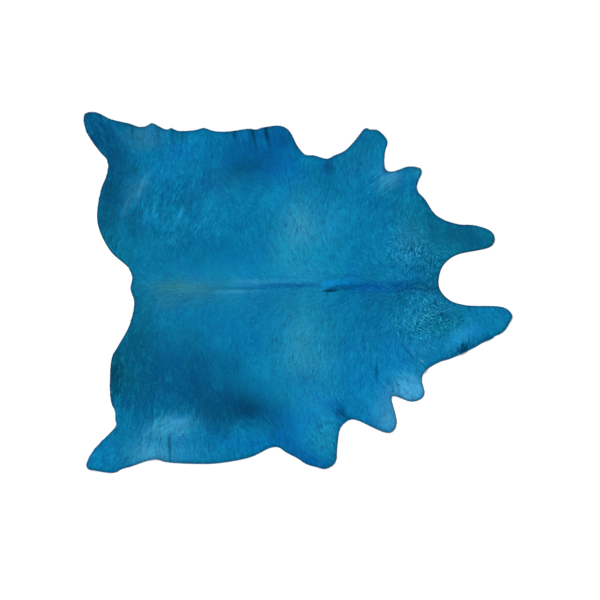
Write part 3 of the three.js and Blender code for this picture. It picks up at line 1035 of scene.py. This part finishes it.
edge_material = leather_material("cut_leather_edge", "#06304c", "#11587e",
                                 FIBRE, EDGE_CLOUD, 0.2 * MM)
suede_material = leather_material("suede_flesh_side", "#4f7f96", "#86a9b8",
                                  NAP, TRAMPLED, 0.25 * MM)
print("materials:", [material.name for material in bpy.data.materials])

# %% [markdown]
# ## Put the skin together
#
# The cells, the dye and the materials are ready, so the skin can be made. Hair side, flesh side and
# the wall between them are one mesh with a material for each. It needs a flat map too, so that its
# finishes can be baked. Blender could unwrap it, but a hide on the floor is flat already, so its
# map is its own plan, with the wall round it as a narrow ring and a smaller flesh side apart.

# %% The skin
WALL_BULGE = 0.5 * MM  # how far the middle of the cut edge stands out
SHARP_ANGLE = 50  # degrees; a bend beyond it stays a crisp line in the shading
MAP_SCALE = 0.32  # of the unit square for each metre of the hair side
FLESH_MAP_SCALE = 0.19  # less for the flesh side, which lies on the floor
MAP_CORNER = 0.01  # what is left free at the map's corner
FLESH_MAP_LIFT = 0.63  # the flesh side comes above the hair side on the map
WALL_ON_MAP = 9 * MM  # each strip of the wall lies this wide round the hair side on the map


def rim_normals(points, outer, rim):
    """Outward directions in plan at the rim points: the mean of the right-hand normals of the two
    outer edges that meet there."""
    run = points[outer[:, 1]] - points[outer[:, 0]]
    normal = np.stack([run[:, 1], -run[:, 0]], 1)
    row = np.searchsorted(rim, outer)
    total = np.zeros((len(rim), 2))
    for end in (0, 1):
        for k in (0, 1):
            total[:, k] += np.bincount(row[:, end], normal[:, k], len(rim))
    return unit(total)


def skin_sheet():
    """The closed sheet: the hair side and the flesh side on the same plan cells, and between them
    a wall of two strips whose middle row, at half height, bulges a little. On the map the wall
    lies round the hair side, and the flesh side lies apart."""
    n = len(plan)
    rim = np.unique(outer_edges)
    outward = rim_normals(plan, outer_edges, rim)
    top = np.c_[plan, root_side(plan[:, 0], plan[:, 1])]
    bottom = np.c_[plan, flesh_side(plan[:, 0], plan[:, 1])]
    middle = np.c_[plan[rim] + WALL_BULGE * outward, (top[rim, 2] + bottom[rim, 2]) / 2]
    points = np.concatenate([top, bottom, middle])
    row = np.searchsorted(rim, outer_edges)
    a, b = outer_edges[:, 0], outer_edges[:, 1]
    middle_a, middle_b = 2 * n + row[:, 0], 2 * n + row[:, 1]
    upper = np.stack([b, a, middle_a, middle_b], 1)
    lower = np.stack([middle_b, middle_a, n + a, n + b], 1)
    faces = [quads, upper, lower, n + quads[:, ::-1]]

    flat = (plan - CORNER) * MAP_SCALE + MAP_CORNER
    ring = np.zeros((n, 2))
    ring[rim] = outward * WALL_ON_MAP * MAP_SCALE
    on_middle = (flat + ring)[rim]
    below = (plan - CORNER) * FLESH_MAP_SCALE + (MAP_CORNER, FLESH_MAP_LIFT)
    bake_map = np.concatenate([
        flat[quads].reshape(-1, 2),
        np.stack([flat[b], flat[a], on_middle[row[:, 0]], on_middle[row[:, 1]]], 1).reshape(-1, 2),
        np.stack([on_middle[row[:, 1]], on_middle[row[:, 0]],
                  (flat + 2 * ring)[a], (flat + 2 * ring)[b]], 1).reshape(-1, 2),
        below[quads[:, ::-1]].reshape(-1, 2)])
    slots = np.repeat([0, 1, 1, 2], [len(group) for group in faces])
    skin = mesh_object("skin", points, faces, {"OFBake": bake_map},
                       [root_material, edge_material, suede_material], slots)
    tint(skin, "dye", dark_rim(hair_colour(*points[:, :2].T, 0.0), *points[:, :2].T))
    skin.data.shade_smooth()
    skin.data.set_sharp_from_angle(angle=math.radians(SHARP_ANGLE))
    return skin


skin = skin_sheet()
print(f"skin: {len(skin.data.polygons)} faces, up to {skin.dimensions.z / MM:.1f} mm high")

# %% [markdown]
# ## The hair
#
# A cow's coat is short hairs that clump into small pointed locks, lying flat along the lie. Single
# hairs are far too many to model, and a particle system would not go into a plain mesh. So each
# lock is the smallest closed solid there is, a four-sided kite: a root in the skin, two low
# corners at its widest, and a tip that stands just clear of the coat. Two hundred thousand of them
# are worked out at once as arrays and joined into four pieces from the tail to the neck. A real
# lock is round, so each kite is lit as a round one: its normals turn outwards at both sides.

# %% Where the locks grow
HAIR_PIECES = ["hair_of_rump", "hair_of_loin", "hair_of_shoulders", "hair_of_neck"]
LOCK_SPACING = 4.02 * MM
LOCKS_IN_PIECE = 49900  # at most; with four triangles each, a piece stays under 200,000
ROOT_GAP = 0.8 * MM  # no lock grows nearer the cut edge


def lock_roots():
    """Roots inside the cut edge, on a grid of triangles whose rows are half the root of 3 of the
    spacing apart and shifted by half of it in turn, each moved by up to half the spacing."""
    rows = LOCK_SPACING * math.sqrt(3) / 2
    count = [int(FIELD_SHAPE[0] * STEP / LOCK_SPACING), int(FIELD_SHAPE[1] * STEP / rows)]
    i, j = np.meshgrid(np.arange(count[0]), np.arange(count[1]), indexing="ij")
    jitter = chance.uniform(-1 / 2, 1 / 2, (2, *i.shape))
    x = CORNER[0] + LOCK_SPACING * (i + (j % 2) / 2 + jitter[0])
    y = CORNER[1] + rows * (j + jitter[1])
    inside = sample(edge_field, x, y) > ROOT_GAP
    return x[inside], y[inside]


root_x, root_y = lock_roots()
print(f"{len(root_x)} locks, {len(root_x) * 4} triangles")

# %% The shape of each lock
LOCK_LENGTH = 23 * MM
CURL_LENGTH = 12 * MM  # on the neck, where it is curly
LENGTHS = (0.75, 1.25)  # chance makes a length this much of itself, from least to most
SHORTEST = 0.15  # of its length, for a lock that is cut off at the edge
LOCK_WIDTH = 2.8 * MM
CURL_WIDTH = 3.6 * MM
WIDTHS = (0.7, 1.3)  # the same for a width
BROADEST = 0.5  # of its length, for a short lock
WIDEST = 0.38  # of the way from root to tip
OVERHANG = 2.5 * MM  # how far a tip may pass the cut edge
TIP_RISE = 0.2 * MM  # how high a tip stands over the coat
CURL_RISE = 0.3 * MM  # more on the curls
RISES = (0.3, 1.5)  # and for how high a tip stands
ROOT_DEPTH = 0.2 * MM  # how deep a lock starts in the skin
SIDE_DROP = 0.45 * MM  # a lock is round on top, so its sides lie lower than its back
LOCK_TURN = 0.14  # radians, how much a lock turns aside by chance
CURL_TURN = 0.10  # more on the curls
ROW_PULL = 1.5  # how strongly curly hair follows its row, set against the lie elsewhere


def locks(x, y):
    """The four corners of each lock, (n, 4, 3): root, left, right and tip. The tip lies a length
    along the lie, turned by the lock's own angle. The left and right corners lie at the widest
    part, half the width to each side, and a drop below the straight back from root to tip. A lock
    whose tip would pass the cut edge by more than the overhang is shortened in proportion."""
    n = len(x)
    curls = curly(x, y)
    lie = ((1 - curls[:, None]) * sample(lie_field, x, y)
           + ROW_PULL * curls[:, None] * along_row(x, y))
    heading = np.arctan2(lie[:, 1], lie[:, 0])
    heading += chance.standard_normal(n) * (LOCK_TURN + CURL_TURN * curls)
    length = (LOCK_LENGTH + (CURL_LENGTH - LOCK_LENGTH) * curls) * chance.uniform(*LENGTHS, n)
    along = np.stack([np.cos(heading), np.sin(heading)], 1)
    root = np.stack([x, y], 1)
    here = sample(edge_field, x, y)
    there = sample(edge_field, *(root + length[:, None] * along).T)
    length *= np.clip((here + OVERHANG) / np.maximum(here - there, TINY), SHORTEST, 1)
    width = (LOCK_WIDTH + (CURL_WIDTH - LOCK_WIDTH) * curls) * chance.uniform(*WIDTHS, n)
    width = np.minimum(width, BROADEST * length)
    aside = np.stack([-along[:, 1], along[:, 0]], 1) * width[:, None] / 2
    tip = root + length[:, None] * along
    middle = root + WIDEST * length[:, None] * along
    root_z = root_side(x, y) - ROOT_DEPTH
    tip_z = hair_side(*tip.T) + (TIP_RISE + CURL_RISE * curls) * chance.uniform(*RISES, n)
    side_z = root_z + WIDEST * (tip_z - root_z) - SIDE_DROP
    z = np.stack([root_z, side_z, side_z, tip_z], 1)
    plan_corners = np.stack([root, middle + aside, middle - aside, tip], 1)
    return np.concatenate([plan_corners, z[..., None]], 2)


# %% How the light sees a lock
ROUNDNESS = 0.55  # how far a lock's sides turn away from its back
LEAN = 0.12  # how far a lock leans to one side by chance

slope_field = np.stack(np.gradient(hair_side(FIELD_X, FIELD_Y), STEP), 2)


def round_normals(corners):
    """Unit normals for the corners of each lock, as on a thin round tuft: the coat's own normal,
    (-slope, 1), leaning aside by chance, and turned further out at the left and right corners."""
    aside = unit(corners[:, 1, :2] - corners[:, 2, :2])
    flat = -sample(slope_field, *corners[:, 3, :2].T)
    flat = flat + LEAN * chance.standard_normal(len(corners))[:, None] * aside
    turned = np.array([0, ROUNDNESS, -ROUNDNESS, 0])[:, None] * aside[:, None]
    return unit(np.concatenate([flat[:, None] + turned, np.ones((len(corners), 4, 1))], 2))


# %% Join the locks
LOCK_FACES = np.array([[0, 3, 1], [0, 2, 3], [0, 1, 2], [1, 3, 2]])  # root, left, right, tip
LOCK_MAP = np.array([[0.5, 0], [0, WIDEST], [1, WIDEST], [0.5, 1]])
MAP_SHIFTS = 400  # a lock reads the strand noise at one of so many places
SEEN = 0.65  # of the way from root to tip: the part that other locks leave uncovered
LOCK_SPREAD = 0.15  # how much the locks differ in how they took the dye
ROOT_SHADE = 0.80  # hair is darker at its root and paler at its worn tip
TIP_SHADE = 1.10


def hair_piece(name, x, y):
    """One joined mesh of locks, with a plan map for baking and a lock map for the strands. A lock
    has the dye of the place where it is seen, times the shade of each corner."""
    n = len(x)
    corners = locks(x, y)
    faces = (4 * np.arange(n)[:, None, None] + LOCK_FACES).reshape(-1, 3)
    seen = corners[:, 0, :2] * (1 - SEEN) + corners[:, 3, :2] * SEEN
    colour = hair_colour(*seen.T, LOCK_SPREAD * chance.standard_normal(n))
    shade = np.array([ROOT_SHADE, 1, 1, TIP_SHADE])[:, None]
    colours = dark_rim(colour[:, None] * shade, corners[..., 0], corners[..., 1]).reshape(-1, 3)
    points = corners.reshape(-1, 3)
    low, high = points[:, :2].min(0), points[:, :2].max(0)
    bake_map = ((points[:, :2] - low) / (high - low).max())[faces.reshape(-1)]
    shift = np.floor(chance.uniform(0, MAP_SHIFTS, n))
    own = LOCK_MAP + np.stack([shift, np.zeros(n)], 1)[:, None]
    strand_map = own.reshape(-1, 2)[faces.reshape(-1)]
    piece = mesh_object(name, points, [faces], {"lock": strand_map, "OFBake": bake_map},
                        [hair_material])
    tint(piece, "dye", colours)
    piece.data.normals_split_custom_set_from_vertices(round_normals(corners).reshape(-1, 3))
    print(f"{name}: {len(faces)} triangles, from {points[:, 2].min() / MM:.1f} mm up")
    return piece


# %% Four pieces of hair
bounds_x = np.quantile(root_x, np.linspace(0, 1, len(HAIR_PIECES) + 1))
hair = []
for name, low, high in zip(HAIR_PIECES, bounds_x[:-1], bounds_x[1:]):
    chosen = (root_x >= low) & (root_x < high)
    assert chosen.sum() <= LOCKS_IN_PIECE
    hair.append(hair_piece(name, root_x[chosen], root_y[chosen]))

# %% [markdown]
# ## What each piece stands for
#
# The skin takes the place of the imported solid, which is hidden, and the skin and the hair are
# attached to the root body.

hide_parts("hide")
for piece in [skin, *hair]:
    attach(piece, "root")
